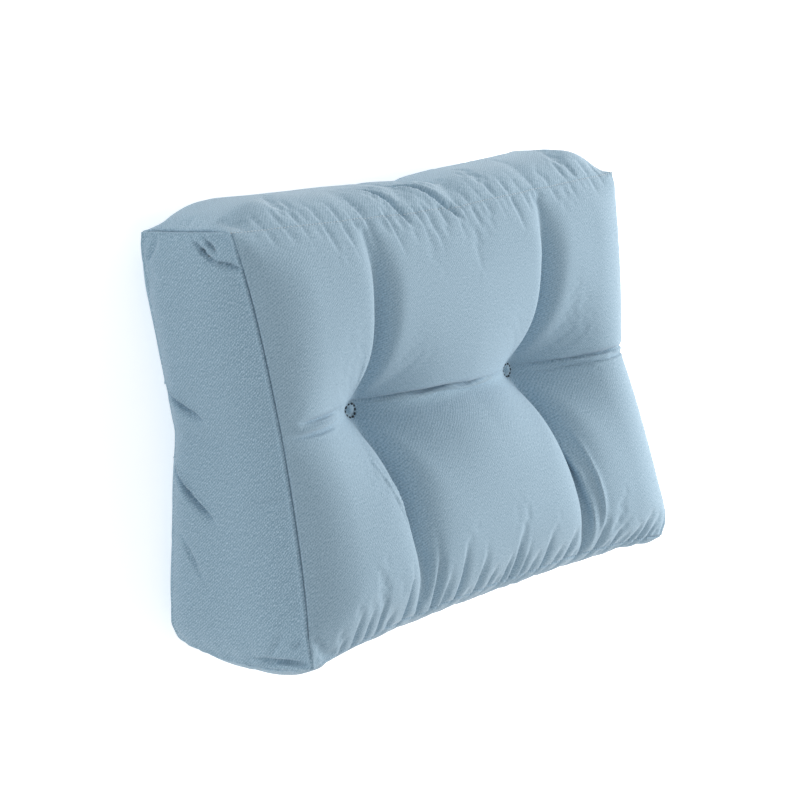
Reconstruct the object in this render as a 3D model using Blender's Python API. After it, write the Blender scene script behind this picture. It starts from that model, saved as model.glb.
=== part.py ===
"""A pallet back cushion: one filled wedge of sewn cloth, tufted twice through its thickness.

The cushion lies on its back. X is its length, Y runs from the thick base panel to the thin
top panel, and Z is up, out of the tufted face. Six panels are sewn together edge to edge:
face, back, top, base and two ends. The filling swells each panel, the seams are drawn in
where the cloth is pulled, and the tufts and the valleys between them part each big panel
into six lobes. All sizes are in metres.
"""

import math
from collections import namedtuple

import bmesh
import bpy
from mathutils import Vector

# Sewn size of the wedge, from seam to seam
LENGTH = 0.606
HEIGHT = 0.395
BASE_THICKNESS = 0.189
TOP_THICKNESS = 0.1285
BACK_LEAN = 0.006

# The tufts, measured from the middle of the cushion and from the plane of the back seams, the
# reach over which they draw the cloth down, and the share of it that is the dimple's flat bottom
TUFTS_X = (-0.1339, 0.1479)
TUFT_Y = 0.005
TUFT_FACE_Z = 0.0938
TUFT_BACK_Z = 0.063
TUFT_REACH_X = 0.0537
TUFT_REACH_Y = 0.0382
TUFT_FLAT = 0.15

# How far each panel swells, and how far in from its seams it takes to do so
Crown = namedtuple("Crown", "height reach seam_reach")
FACE = Crown(height=0.0245, reach=0.068, seam_reach=0.069)
BACK = Crown(height=0.036, reach=0.048, seam_reach=0.055)
ENDS = Crown(height=0.013, reach=0.060, seam_reach=0.080)
ENDS_BACK_REACH = 0.030
TOP = Crown(height=0.029, reach=0.031, seam_reach=0.063)
BASE = Crown(height=0.0175, reach=0.071, seam_reach=0.021)

# Fullness of the lobes: left, middle and right, then the share of it above and below
Lobe = namedtuple("Lobe", "x upper lower spread")
LOBES = (
    Lobe(x=-0.215, upper=1.00, lower=1.04, spread=0.075),
    Lobe(x=0.000, upper=0.96, lower=1.00, spread=0.090),
    Lobe(x=0.215, upper=0.94, lower=0.97, spread=0.075),
)

# How far the seams are drawn in, along their length and at the row of tufts, and how far the
# base panel drops at its two ends
END_SEAM_BOW = 0.0165
LEFT_SEAM_AT_ROW = 0.0083
RIGHT_SEAM_AT_ROW = 0.0133
END_SEAM_SINK_AT_ROW = 0.0053
END_ROW_REACH = 0.0594
TOP_SEAM_BOW = 0.009
BASE_SEAM_BOW = 0.0087
FACE_SEAM_SINK_AT_BASE = 0.0195
BASE_DROP_LEFT = 0.005
BASE_DROP_RIGHT = 0.0187

# How far the end panels are drawn in at their corners: at the back of the left one, and on the
# whole edge of the right one
LEFT_BASE_CORNER = 0.0090
LEFT_TOP_CORNER = 0.0057
RIGHT_BASE_CORNER = 0.0199
RIGHT_TOP_CORNER = 0.0040
CORNER_REACH = 0.009

# How much fuller the right end of the top and base panels is than their middle
TOP_LEAN = 0.14
BASE_LEAN = 0.43

# How far the short seams of the top and base panels arch outwards between the big panels
TOP_SHORT_SEAM_ARCH = 0.001
BASE_SHORT_SEAM_ARCH = 0.010

# Valleys on the face and the back: depth beside the tufts and at the seams, width of each side
COLUMN_DEPTH = 0.060
COLUMN_DEPTH_AT_SEAM = 0.003
COLUMN_WIDTH = 0.013
ROW_DEPTH = 0.047
ROW_DEPTH_AT_SEAM = 0.001
ROW_WIDTH_ABOVE = 0.0487
ROW_WIDTH_BELOW = 0.022
VALLEY_ROUNDING = 0.004
BACK_SHARE = 0.70

# Creases that cross the top panel: place along it, depth and width of each side
Crease = namedtuple("Crease", "x depth width")
TOP_CREASES = (
    Crease(x=-0.051, depth=0.004, width=0.015),
    Crease(x=0.021, depth=0.009, width=0.020),
)
CREASE_AT_SEAM = 0.3

# Where weight flattens the lobes of the back and the middle of the base panel
BACK_REST = -0.0180
BASE_REST = 0.2245
REST_ROUNDING = 0.004

# Panel grid: cells from an end seam to a tuft, from tuft to tuft, and so on
CELLS_END_TO_TUFT = 14
CELLS_BETWEEN_TUFTS = 22
CELLS_SEAM_TO_ROW = 16
CELLS_THROUGH = 12
SEAM_CROWDING = 0.45

CLOTH_COLOUR = (0.273, 0.402, 0.485, 1.0)
CLOTH_ROUGHNESS = 0.92


def rise(distance, reach):
    """Swell of a panel at a distance from its seam: 0 at the seam, 1 from reach onwards."""
    share = min(max(distance / reach, 0.0), 1.0)
    return 1.0 - (1.0 - share) ** 2


def pull(distance, width):
    """Pull of a valley line: 1 on the line, fading to both sides from a rounded bottom."""
    rounded = math.hypot(distance, VALLEY_ROUNDING) - VALLEY_ROUNDING
    return math.exp(-rounded / width)


def settle(value, level):
    """Hold a value at or above a level, flat below it and rounded into it."""
    if value >= level + REST_ROUNDING:
        return value
    if value <= level - REST_ROUNDING:
        return level
    return level + (value - level + REST_ROUNDING) ** 2 / (4.0 * REST_ROUNDING)


def across(share, length, crown):
    """Swell across a panel, from its two seams, at a share of its length."""
    return rise(share * length, crown) * rise((1.0 - share) * length, crown)


def thickness(b):
    """Thickness between the back and face seams, from the base (b = 0) to the top (b = 1)."""
    return BASE_THICKNESS + (TOP_THICKNESS - BASE_THICKNESS) * b


def lobe_fullness(x, y):
    """Uneven filling of the lobes, as a factor on a panel's swell."""
    upper = 0.5 + 0.5 * math.tanh(y / 0.04)
    weight = total = 0.0
    for lobe in LOBES:
        near = math.exp(-((x - lobe.x) / lobe.spread) ** 2)
        total += near * (lobe.lower + (lobe.upper - lobe.lower) * upper)
        weight += near
    return total / weight


def corner_draw(a, b, c):
    """How far the corners of the end panels are drawn in towards the middle of the cushion."""
    at_back = (1.0 - a) * (1.0 - c) ** 2
    at_base = (LEFT_BASE_CORNER * at_back + RIGHT_BASE_CORNER * a) * pull(b * HEIGHT, CORNER_REACH)
    at_top = LEFT_TOP_CORNER * at_back + RIGHT_TOP_CORNER * a
    return at_base + at_top * pull((1.0 - b) * HEIGHT, CORNER_REACH)


def half_length(a, b, c):
    """Distance from the middle of the cushion to its end panels, drawn in unevenly at the row."""
    y = (b - 0.5) * HEIGHT
    bow = END_SEAM_BOW * 4.0 * b * (1.0 - b)
    at_row = LEFT_SEAM_AT_ROW + (RIGHT_SEAM_AT_ROW - LEFT_SEAM_AT_ROW) * a
    at_row *= pull(y - TUFT_Y, END_ROW_REACH)
    from_back, from_face = c * thickness(b), (1.0 - c) * thickness(b)
    swell = rise(from_back, ENDS_BACK_REACH) * rise(from_face, ENDS.reach)
    swell = swell * across(b, HEIGHT, ENDS.seam_reach)
    return LENGTH / 2.0 - bow - at_row - corner_draw(a, b, c) + ENDS.height * swell


def top_edge(a, c):
    """Distance of the top panel from the middle of the cushion."""
    x = (a - 0.5) * LENGTH
    between_ends = 4.0 * a * (1.0 - a)
    between_seams = 4.0 * c * (1.0 - c)
    swell = across(c, TOP_THICKNESS, TOP.reach) * across(a, LENGTH, TOP.seam_reach)
    swell *= 1.0 + TOP_LEAN * (2.0 * a - 1.0)
    edge = HEIGHT / 2.0 - TOP_SEAM_BOW * between_ends
    edge += TOP_SHORT_SEAM_ARCH * between_seams + TOP.height * swell
    for crease in TOP_CREASES:
        along_crease = CREASE_AT_SEAM + (1.0 - CREASE_AT_SEAM) * between_seams
        edge -= crease.depth * pull(x - crease.x, crease.width) * along_crease
    return edge


def base_edge(a, c):
    """Distance of the base panel from the middle of the cushion, flat where it stands."""
    between_ends = 4.0 * a * (1.0 - a)
    between_seams = 4.0 * c * (1.0 - c)
    swell = across(c, BASE_THICKNESS, BASE.reach) * across(a, LENGTH, BASE.seam_reach)
    swell *= 1.0 + BASE_LEAN * (2.0 * a - 1.0)
    drop = BASE_DROP_LEFT + (BASE_DROP_RIGHT - BASE_DROP_LEFT) * a
    edge = HEIGHT / 2.0 + drop - BASE_SEAM_BOW * between_ends
    edge += BASE_SHORT_SEAM_ARCH * between_seams + BASE.height * swell
    return -settle(-edge, -BASE_REST)


def valley_depth(x, y):
    """Depth of the valleys that run from the tufts to the seams and to each other."""
    to_top = max(y - TUFT_Y, 0.0) / (HEIGHT / 2.0 - TUFT_Y)
    to_base = max(TUFT_Y - y, 0.0) / (HEIGHT / 2.0 + TUFT_Y)
    run = to_top + to_base
    column = COLUMN_DEPTH + (COLUMN_DEPTH_AT_SEAM - COLUMN_DEPTH) * run
    column *= max(pull(x - tuft_x, COLUMN_WIDTH) for tuft_x in TUFTS_X)
    outwards = max(abs(x) - TUFTS_X[1], 0.0) / (LENGTH / 2.0 - TUFTS_X[1])
    row = ROW_DEPTH + (ROW_DEPTH_AT_SEAM - ROW_DEPTH) * outwards
    row *= pull(y - TUFT_Y, ROW_WIDTH_ABOVE if y > TUFT_Y else ROW_WIDTH_BELOW)
    return (column ** 4 + row ** 4) ** 0.25


def tufted(height, tuft_height, x, y):
    """Height of a big panel, drawn towards the level of its two tufts beside them."""
    for tuft_x in TUFTS_X:
        distance = math.hypot((x - tuft_x) / TUFT_REACH_X, (y - TUFT_Y) / TUFT_REACH_Y)
        hold = math.exp(-max(distance - TUFT_FLAT, 0.0))
        height += (tuft_height - height) * hold
    return height


def seam_sink(a, b):
    """How far the seams round a big panel sink towards the middle of the thickness."""
    x_share = 2.0 * a - 1.0
    y = (b - 0.5) * HEIGHT
    at_row = END_SEAM_SINK_AT_ROW * pull(y - TUFT_Y, END_ROW_REACH) * x_share ** 4
    to_base = max(1.0 - 2.0 * b, 0.0)
    at_base = FACE_SEAM_SINK_AT_BASE * 4.0 * a * (1.0 - a) * to_base ** 2
    return at_row + at_base


def big_panel_swell(a, b, crown):
    """Swell of the face or the back, with its uneven lobes."""
    x = (a - 0.5) * LENGTH
    y = (b - 0.5) * HEIGHT
    swell = across(a, LENGTH, crown.reach) * across(b, HEIGHT, crown.seam_reach)
    return crown.height * swell * lobe_fullness(x, y)


def face_height(a, b):
    """Height of the tufted face over the plane of the back seams."""
    x = (a - 0.5) * LENGTH
    y = (b - 0.5) * HEIGHT
    height = thickness(b) + BACK_LEAN * b - seam_sink(a, b) + big_panel_swell(a, b, FACE)
    return tufted(height - valley_depth(x, y), TUFT_FACE_Z, x, y)


def back_height(a, b):
    """Height of the back, flat where its lobes rest."""
    x = (a - 0.5) * LENGTH
    y = (b - 0.5) * HEIGHT
    depth = 0.6 * seam_sink(a, b) - big_panel_swell(a, b, BACK) + BACK_LEAN * b
    height = tufted(depth + BACK_SHARE * valley_depth(x, y), TUFT_BACK_Z, x, y)
    return settle(height, BACK_REST)


def cushion_point(a, b, c):
    """Place on the cushion of a point of the unit block: length, height and thickness shares."""
    reach = half_length(a, b, c)
    base = -base_edge(a, c)
    top = top_edge(a, c)
    back = back_height(a, b)
    face = face_height(a, b)
    return Vector(((2.0 * a - 1.0) * reach, base + (top - base) * b, back + (face - back) * c))


def crowded(start, end, count, start_crowding, end_crowding):
    """Stations from start to just before end, closer together at the crowded ends."""
    stations = []
    for step in range(count):
        u = step / count
        shift = start_crowding * u * (1.0 - u) ** 2 - end_crowding * u ** 2 * (1.0 - u)
        stations.append(start + (end - start) * (u - shift))
    return stations


def grid_stations():
    """Grid lines along the length, the height and the thickness, as shares of each."""
    left_tuft, right_tuft = (0.5 + tuft_x / LENGTH for tuft_x in TUFTS_X)
    row = 0.5 + TUFT_Y / HEIGHT
    along = crowded(0.0, left_tuft, CELLS_END_TO_TUFT, SEAM_CROWDING, SEAM_CROWDING)
    along += crowded(left_tuft, right_tuft, CELLS_BETWEEN_TUFTS, SEAM_CROWDING, SEAM_CROWDING)
    along += crowded(right_tuft, 1.0, CELLS_END_TO_TUFT, SEAM_CROWDING, SEAM_CROWDING) + [1.0]
    up = crowded(0.0, row, CELLS_SEAM_TO_ROW, SEAM_CROWDING, SEAM_CROWDING)
    up += crowded(row, 1.0, CELLS_SEAM_TO_ROW, SEAM_CROWDING, SEAM_CROWDING) + [1.0]
    through = crowded(0.0, 1.0, CELLS_THROUGH, SEAM_CROWDING, SEAM_CROWDING) + [1.0]
    return along, up, through


def cut_block(block, axis, stations):
    """Cut the block's faces along grid lines across one axis."""
    normal = Vector((0.0, 0.0, 0.0))
    normal[axis] = 1.0
    for station in stations[1:-1]:
        parts = block.verts[:] + block.edges[:] + block.faces[:]
        bmesh.ops.bisect_plane(block, geom=parts, plane_co=normal * station, plane_no=normal)


def cloth_material():
    """Pale blue woven cotton."""
    material = bpy.data.materials.new("pale blue cotton")
    material.use_nodes = True
    shader = material.node_tree.nodes["Principled BSDF"]
    shader.inputs["Base Color"].default_value = CLOTH_COLOUR
    shader.inputs["Roughness"].default_value = CLOTH_ROUGHNESS
    shader.inputs["Metallic"].default_value = 0.0
    return material


def stand_on_origin(block):
    """Move the cushion so that the middle of its underside is at the origin."""
    low = Vector([min(vert.co[axis] for vert in block.verts) for axis in range(3)])
    high = Vector([max(vert.co[axis] for vert in block.verts) for axis in range(3)])
    middle = (low + high) / 2.0
    bmesh.ops.translate(block, verts=block.verts, vec=(-middle.x, -middle.y, -low.z))


def make_cushion(collection):
    """The filled cushion, shaped from a block cut into a grid."""
    block = bmesh.new()
    bmesh.ops.create_cube(block, size=1.0)
    bmesh.ops.translate(block, verts=block.verts, vec=(0.5, 0.5, 0.5))
    for axis, stations in enumerate(grid_stations()):
        cut_block(block, axis, stations)
    for vert in block.verts:
        vert.co = cushion_point(*vert.co)
    stand_on_origin(block)
    mesh = bpy.data.meshes.new("cushion")
    block.to_mesh(mesh)
    block.free()
    mesh.materials.append(cloth_material())
    cushion = bpy.data.objects.new("cushion", mesh)
    collection.objects.link(cushion)
    return cushion


def main():
    for item in list(bpy.data.objects):
        bpy.data.objects.remove(item)
    collection = bpy.data.collections.new("pallet cushion")
    bpy.context.scene.collection.children.link(collection)
    make_cushion(collection)


main()
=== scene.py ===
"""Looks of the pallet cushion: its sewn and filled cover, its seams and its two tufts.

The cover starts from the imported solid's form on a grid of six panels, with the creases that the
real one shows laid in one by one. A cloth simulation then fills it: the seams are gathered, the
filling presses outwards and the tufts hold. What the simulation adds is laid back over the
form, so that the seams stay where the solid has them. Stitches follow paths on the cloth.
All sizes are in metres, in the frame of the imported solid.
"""

from collections import namedtuple

import bpy
import numpy as np
from mathutils import Matrix, Vector


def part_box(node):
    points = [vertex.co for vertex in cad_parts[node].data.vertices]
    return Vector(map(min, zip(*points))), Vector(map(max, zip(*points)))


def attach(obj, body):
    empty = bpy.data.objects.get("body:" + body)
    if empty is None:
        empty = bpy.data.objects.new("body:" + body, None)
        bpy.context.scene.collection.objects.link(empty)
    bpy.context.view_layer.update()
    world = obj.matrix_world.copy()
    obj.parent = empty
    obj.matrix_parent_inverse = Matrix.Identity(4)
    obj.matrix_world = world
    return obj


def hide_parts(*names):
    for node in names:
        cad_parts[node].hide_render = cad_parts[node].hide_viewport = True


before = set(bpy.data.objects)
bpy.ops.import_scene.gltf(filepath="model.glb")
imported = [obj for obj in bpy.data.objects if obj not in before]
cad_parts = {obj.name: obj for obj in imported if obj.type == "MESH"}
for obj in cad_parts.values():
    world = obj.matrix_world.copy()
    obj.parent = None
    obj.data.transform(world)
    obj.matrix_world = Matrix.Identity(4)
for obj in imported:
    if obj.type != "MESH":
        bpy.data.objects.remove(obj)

bl_info = {
    "name": "Pallet Cushion",
    "version": (1, 0, 0),
    "blender": (4, 5, 0),
    "location": "View3D > Sidebar > Cushion",
    "description": "Sews, fills and tufts a wedge-shaped pallet cushion over its packed solid",
    "category": "Object",
}

BOX_LOW, BOX_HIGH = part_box("cushion")

# Sewn size of the wedge, from seam to seam
LENGTH = 0.606
HEIGHT = 0.395
BASE_THICKNESS = 0.189
TOP_THICKNESS = 0.1285
BACK_LEAN = 0.006

# The tufts, from the middle of the cushion and from the plane of the back seams
TUFTS_X = (-0.1339, 0.1479)
TUFT_Y = 0.005
TUFT_FACE_Z = 0.0938
TUFT_BACK_Z = 0.063
TUFT_REACH_X = 0.0537
TUFT_REACH_Y = 0.0382
TUFT_FLAT = 0.15

# How far each panel swells, and how far in from its seams it takes to do so
Crown = namedtuple("Crown", "height reach seam_reach")
FACE = Crown(height=0.0245, reach=0.068, seam_reach=0.069)
BACK = Crown(height=0.036, reach=0.048, seam_reach=0.055)
ENDS = Crown(height=0.013, reach=0.060, seam_reach=0.080)
ENDS_BACK_REACH = 0.030
TOP = Crown(height=0.029, reach=0.031, seam_reach=0.063)
BASE = Crown(height=0.0175, reach=0.071, seam_reach=0.021)

# Fullness of the lobes: place along the length, then the share of it above and below
Lobe = namedtuple("Lobe", "x upper lower spread")
LOBES = (
    Lobe(x=-0.215, upper=1.00, lower=1.04, spread=0.075),
    Lobe(x=0.000, upper=0.96, lower=1.00, spread=0.090),
    Lobe(x=0.215, upper=0.94, lower=0.97, spread=0.075),
)

# How far the seams are drawn in, along their length and at the row of tufts, and how far the
# base panel drops at its two ends
END_SEAM_BOW = 0.0165
LEFT_SEAM_AT_ROW = 0.0083
RIGHT_SEAM_AT_ROW = 0.0133
END_SEAM_SINK_AT_ROW = 0.0053
END_ROW_REACH = 0.0594
TOP_SEAM_BOW = 0.009
BASE_SEAM_BOW = 0.0087
FACE_SEAM_SINK_AT_BASE = 0.0195
BASE_DROP_LEFT = 0.005
BASE_DROP_RIGHT = 0.0187
TOP_LEAN = 0.14
BASE_LEAN = 0.43
TOP_SHORT_SEAM_ARCH = 0.001
BASE_SHORT_SEAM_ARCH = 0.010

# How far the end panels are drawn in at their corners: at the back of the left one, and on the
# whole edge of the right one
LEFT_BASE_CORNER = 0.0090
LEFT_TOP_CORNER = 0.0057
RIGHT_BASE_CORNER = 0.0199
RIGHT_TOP_CORNER = 0.0040
CORNER_REACH = 0.009

# Valleys between the lobes: depth beside the tufts and at the seams, width of each side
COLUMN_DEPTH = 0.060
COLUMN_DEPTH_AT_SEAM = 0.003
COLUMN_WIDTH = 0.013
ROW_DEPTH = 0.047
ROW_DEPTH_AT_SEAM = 0.001
ROW_WIDTH_ABOVE = 0.0487
ROW_WIDTH_BELOW = 0.022
VALLEY_ROUNDING = 0.004
BACK_SHARE = 0.70

# The two deep creases across the top panel
TopCrease = namedtuple("TopCrease", "x depth width")
TOP_CREASES = (
    TopCrease(x=-0.051, depth=0.004, width=0.015),
    TopCrease(x=0.021, depth=0.009, width=0.020),
)
CREASE_AT_SEAM = 0.3

# Puckers across the long seam at the top of the face: place, reach down the face and over the
# top panel, depth, width of each side, and drift along the seam towards the top panel's far side
Pucker = namedtuple("Pucker", "x face side depth width drift")
TOP_PUCKERS = (
    Pucker(-0.262, 0.022, 0.014, 0.0007, 0.005, -0.004),
    Pucker(-0.238, 0.020, 0.018, 0.0008, 0.005, -0.004),
    Pucker(-0.215, 0.030, 0.014, 0.0007, 0.005, -0.004),
    Pucker(-0.186, 0.036, 0.022, 0.0008, 0.006, -0.004),
    Pucker(-0.160, 0.044, 0.020, 0.0011, 0.006, -0.004),
    Pucker(-0.143, 0.030, 0.014, 0.0007, 0.005, -0.004),
    Pucker(-0.125, 0.058, 0.024, 0.0015, 0.007, -0.006),
    Pucker(-0.094, 0.046, 0.008, 0.0016, 0.006, -0.002),
    Pucker(-0.068, 0.030, 0.008, 0.0012, 0.005, -0.002),
    Pucker(-0.049, 0.028, 0.008, 0.0012, 0.005, -0.006),
    Pucker(-0.034, 0.050, 0.008, 0.0016, 0.006, -0.004),
    Pucker(-0.012, 0.026, 0.008, 0.0009, 0.005, -0.004),
    Pucker(0.008, 0.034, 0.008, 0.0012, 0.006, 0.000),
    Pucker(0.022, 0.024, 0.008, 0.0012, 0.005, -0.010),
    Pucker(0.038, 0.040, 0.018, 0.0008, 0.006, -0.006),
    Pucker(0.060, 0.022, 0.026, 0.0005, 0.006, -0.010),
    Pucker(0.082, 0.030, 0.016, 0.0007, 0.006, -0.004),
    Pucker(0.106, 0.050, 0.020, 0.0011, 0.007, -0.002),
    Pucker(0.128, 0.030, 0.022, 0.0007, 0.006, -0.004),
    Pucker(0.151, 0.048, 0.014, 0.0008, 0.006, 0.000),
    Pucker(0.178, 0.020, 0.018, 0.0005, 0.006, -0.004),
    Pucker(0.213, 0.030, 0.026, 0.0008, 0.006, -0.004),
    Pucker(0.232, 0.024, 0.022, 0.0006, 0.005, -0.006),
    Pucker(0.254, 0.026, 0.024, 0.0008, 0.006, -0.006),
    Pucker(0.274, 0.020, 0.018, 0.0006, 0.005, -0.004),
    Pucker(0.288, 0.012, 0.014, 0.0005, 0.004, -0.002),
)

# The same across the long seam at the bottom of the face
BASE_PUCKERS = (
    Pucker(-0.258, 0.018, 0.020, 0.0016, 0.006, -0.004),
    Pucker(-0.240, 0.044, 0.024, 0.0026, 0.007, -0.006),
    Pucker(-0.222, 0.040, 0.026, 0.0026, 0.006, -0.008),
    Pucker(-0.203, 0.044, 0.026, 0.0024, 0.006, -0.008),
    Pucker(-0.186, 0.024, 0.020, 0.0018, 0.006, -0.006),
    Pucker(-0.159, 0.072, 0.030, 0.0034, 0.008, -0.010),
    Pucker(-0.136, 0.060, 0.020, 0.0024, 0.007, -0.004),
    Pucker(-0.113, 0.100, 0.022, 0.0040, 0.008, -0.004),
    Pucker(-0.096, 0.054, 0.026, 0.0026, 0.007, -0.004),
    Pucker(-0.073, 0.080, 0.030, 0.0034, 0.008, -0.008),
    Pucker(-0.040, 0.066, 0.030, 0.0032, 0.008, -0.008),
    Pucker(-0.018, 0.026, 0.024, 0.0018, 0.006, -0.004),
    Pucker(0.006, 0.040, 0.026, 0.0024, 0.006, -0.004),
    Pucker(0.021, 0.072, 0.030, 0.0032, 0.007, -0.004),
    Pucker(0.037, 0.046, 0.022, 0.0024, 0.006, -0.006),
    Pucker(0.054, 0.022, 0.022, 0.0016, 0.006, -0.004),
    Pucker(0.075, 0.050, 0.030, 0.0028, 0.008, -0.008),
    Pucker(0.097, 0.026, 0.022, 0.0018, 0.006, -0.006),
    Pucker(0.120, 0.050, 0.026, 0.0024, 0.007, -0.006),
    Pucker(0.150, 0.046, 0.026, 0.0026, 0.007, -0.004),
    Pucker(0.176, 0.052, 0.024, 0.0026, 0.007, -0.004),
    Pucker(0.205, 0.022, 0.024, 0.0018, 0.006, -0.004),
    Pucker(0.239, 0.022, 0.026, 0.0022, 0.006, -0.004),
    Pucker(0.256, 0.036, 0.024, 0.0024, 0.006, -0.004),
    Pucker(0.274, 0.024, 0.018, 0.0020, 0.005, -0.002),
)

# Other creases, as lines on the unfolded front: X along the face, Y up it, and past a seam the
# neighbouring panel laid flat beside it. Each runs from x0, y0 to x1, y1, its middle a bow off to
# the left of that line, and one with a negative depth is a fold that stands out.
Crease = namedtuple("Crease", "x0 y0 x1 y1 depth width bow", defaults=(0.0,))
CREASES = (
    Crease(0.148, -0.0460, 0.158, -0.1200, -0.0046, 0.0060),
    Crease(0.156, -0.0920, 0.160, -0.1840, -0.0046, 0.0060),
    Crease(0.164, -0.0600, 0.170, -0.1720, -0.0030, 0.0050, 0.0050),
    Crease(0.150, -0.0750, 0.152, -0.1600, 0.0014, 0.0050),
    Crease(-0.176, -0.0300, -0.150, -0.1100, -0.0022, 0.0040),
    Crease(-0.164, -0.0400, -0.140, -0.1040, -0.0016, 0.0035),
    Crease(-0.163, 0.0660, -0.152, 0.0180, -0.0014, 0.0035),
    Crease(-0.288, 0.0135, -0.206, 0.0115, -0.0052, 0.0050),
    Crease(-0.292, 0.0200, -0.204, 0.0175, 0.0040, 0.0035),
    Crease(-0.294, 0.0070, -0.214, 0.0050, 0.0040, 0.0035),
    Crease(0.158, 0.0070, 0.320, 0.0140, 0.0070, 0.0032),
    Crease(0.168, 0.0000, 0.316, 0.0062, 0.0042, 0.0030),
    Crease(-0.122, 0.0127, 0.098, 0.0098, 0.0190, 0.0021),
    Crease(-0.122, 0.0072, -0.034, 0.0080, -0.0022, 0.0040),
    Crease(-0.116, 0.2380, -0.066, 0.1900, 0.0062, 0.0052, 0.0075),
    Crease(-0.060, 0.2360, 0.012, 0.1880, 0.0082, 0.0052, 0.0050),
    Crease(-0.356, 0.1890, -0.333, 0.1700, 0.0060, 0.0034),
    Crease(-0.341, 0.1730, -0.300, 0.1630, 0.0056, 0.0034),
    Crease(-0.342, 0.1920, -0.326, 0.1780, 0.0044, 0.0030),
    Crease(-0.404, 0.1920, -0.425, 0.1680, 0.0018, 0.0050),
    Crease(-0.400, 0.0260, -0.470, 0.0560, 0.0110, 0.0060),
    Crease(-0.402, -0.0660, -0.476, -0.0160, 0.0120, 0.0062),
    Crease(-0.304, -0.0440, -0.345, -0.0460, 0.0018, 0.0050),
    Crease(-0.452, -0.0860, -0.424, -0.1200, 0.0028, 0.0060),
    Crease(-0.378, -0.1880, -0.309, -0.1920, 0.0070, 0.0040),
    Crease(-0.322, -0.1770, -0.308, -0.1690, 0.0026, 0.0040),
    Crease(-0.352, -0.1840, -0.326, -0.1600, 0.0022, 0.0060),
)

# Height on the face of the creases along the row of tufts
ROW_CREASE_Y = 0.011

# How far a crease reaches from its middle, as a share of its length: it fades past its ends
CREASE_REACH = 0.65

# Section of a finished crease, in widths of its trough: how steep its walls are, and how far
# off, how wide and how high the ridge beside it is
WALL_STEEPNESS = 2.4
RIDGE_OFFSET = 0.75
RIDGE_WIDTH = 0.34
RIDGE_SHARE = 0.38

# Where weight flattens the back's lobes and the middle of the base panel, and how the form and
# the finished cover are rounded into those flats
BACK_REST = -0.0180
BASE_REST = 0.2245
REST_ROUNDING = 0.004
COVER_ROUNDING = 0.002

# Share of the face seams' sink that the back's seams have
BACK_SINK_SHARE = 0.6

# The simulation: share of the gathering that the seams away from the base take, and rounds of
# averaging that find the broad changes it makes, which are taken out again
SLIGHT_GATHER = 0.2
SOFT_ROUNDS = 60

# The simulated wrinkles: share that stays everywhere, what the long seams add to it and how far
# from them, and how wide the smooth place at each tuft is
WRINKLES = 0.40
WRINKLES_BY_SEAM = 0.60
WRINKLES_REACH = 0.050
SMOOTH_AT_TUFT = 0.030

# The finished cover's grid: distances from a seam of its first rows of points, the place along
# the row of tufts where they crowd, and the share of the cell that goes through the thickness
MEAN_THICKNESS = (BASE_THICKNESS + TOP_THICKNESS) / 2.0
NEAR_SEAM = (0.0, 0.0006, 0.0013, 0.0022, 0.0036)
Crowd = namedtuple("Crowd", "place spread share")
ROW_CROWD = Crowd(place=HEIGHT / 2.0 + ROW_CREASE_Y, spread=0.009, share=2.0)
THROUGH_SHARE = 0.85

# Sewn lines, in widths of their groove: how wide it is on the end panels, how far off and how
# wide the raised edge beside it is, the edge's height on the end panels and on the others, then
# how nearly flush the face's top seam is and, in metres, how far from it
GROOVE_AT_END = 0.6
EDGE_OFFSET = 2.6
EDGE_WIDTH = 1.4
EDGE_HEIGHT_AT_END = 0.34
EDGE_HEIGHT = 0.12
TOP_SEAM_FLUSH = 0.9
TOP_SEAM_REACH = 0.004

# The ring that a tuft's stitches press into the cloth and the pad that swells inside it, and
# the points of the ring, found by rays from a little above the cloth
RING_WIDTH = 0.0022
RING_DEPTH = 0.0012
PAD_SHARE = 0.8
PAD_HEIGHT = 0.0036
RING_POINTS = 40
RAY_HEIGHT = 0.03

# Where the camera looks, and the place, size and slight warmth of the key light
CAMERA_TARGET = (-0.031, -0.0089, 0.099)
KEY_PLACE = (1.70, 0.0, 1.02)
KEY_SIZE = 0.85
KEY_TINT = (1.0, 0.965, 0.94)

PANELS = ("face", "back", "top", "base", "left", "right")
END_PANELS = ("left", "right")


def rise(distance, reach):
    """Swell of a panel at a distance from its seam: 0 at the seam, 1 from reach onwards."""
    return 1.0 - (1.0 - np.clip(distance / reach, 0.0, 1.0)) ** 2


def pull(distance, width):
    """Pull of a valley line: 1 on the line, fading to both sides from a rounded bottom."""
    return np.exp((VALLEY_ROUNDING - np.hypot(distance, VALLEY_ROUNDING)) / width)


def settle(value, level, rounding):
    """Hold values at or above a level, flat below it and rounded into it."""
    near = level + (value - level + rounding) ** 2 / (4.0 * rounding)
    held = np.where(value <= level - rounding, level, near)
    return np.where(value >= level + rounding, value, held)


def across(share, length, crown):
    """Swell across a panel, from its two seams, at a share of its length."""
    return rise(share * length, crown) * rise((1.0 - share) * length, crown)


def thickness(b):
    """Thickness between the back and face seams, from the base (b = 0) to the top (b = 1)."""
    return BASE_THICKNESS + (TOP_THICKNESS - BASE_THICKNESS) * b


def lobe_fullness(x, y):
    """Uneven filling of the lobes, as a factor on a panel's swell."""
    upper = 0.5 + 0.5 * np.tanh(y / 0.04)
    near = [np.exp(-(((x - lobe.x) / lobe.spread) ** 2)) for lobe in LOBES]
    full = [lobe.lower + (lobe.upper - lobe.lower) * upper for lobe in LOBES]
    return sum(n * f for n, f in zip(near, full)) / sum(near)


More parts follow.
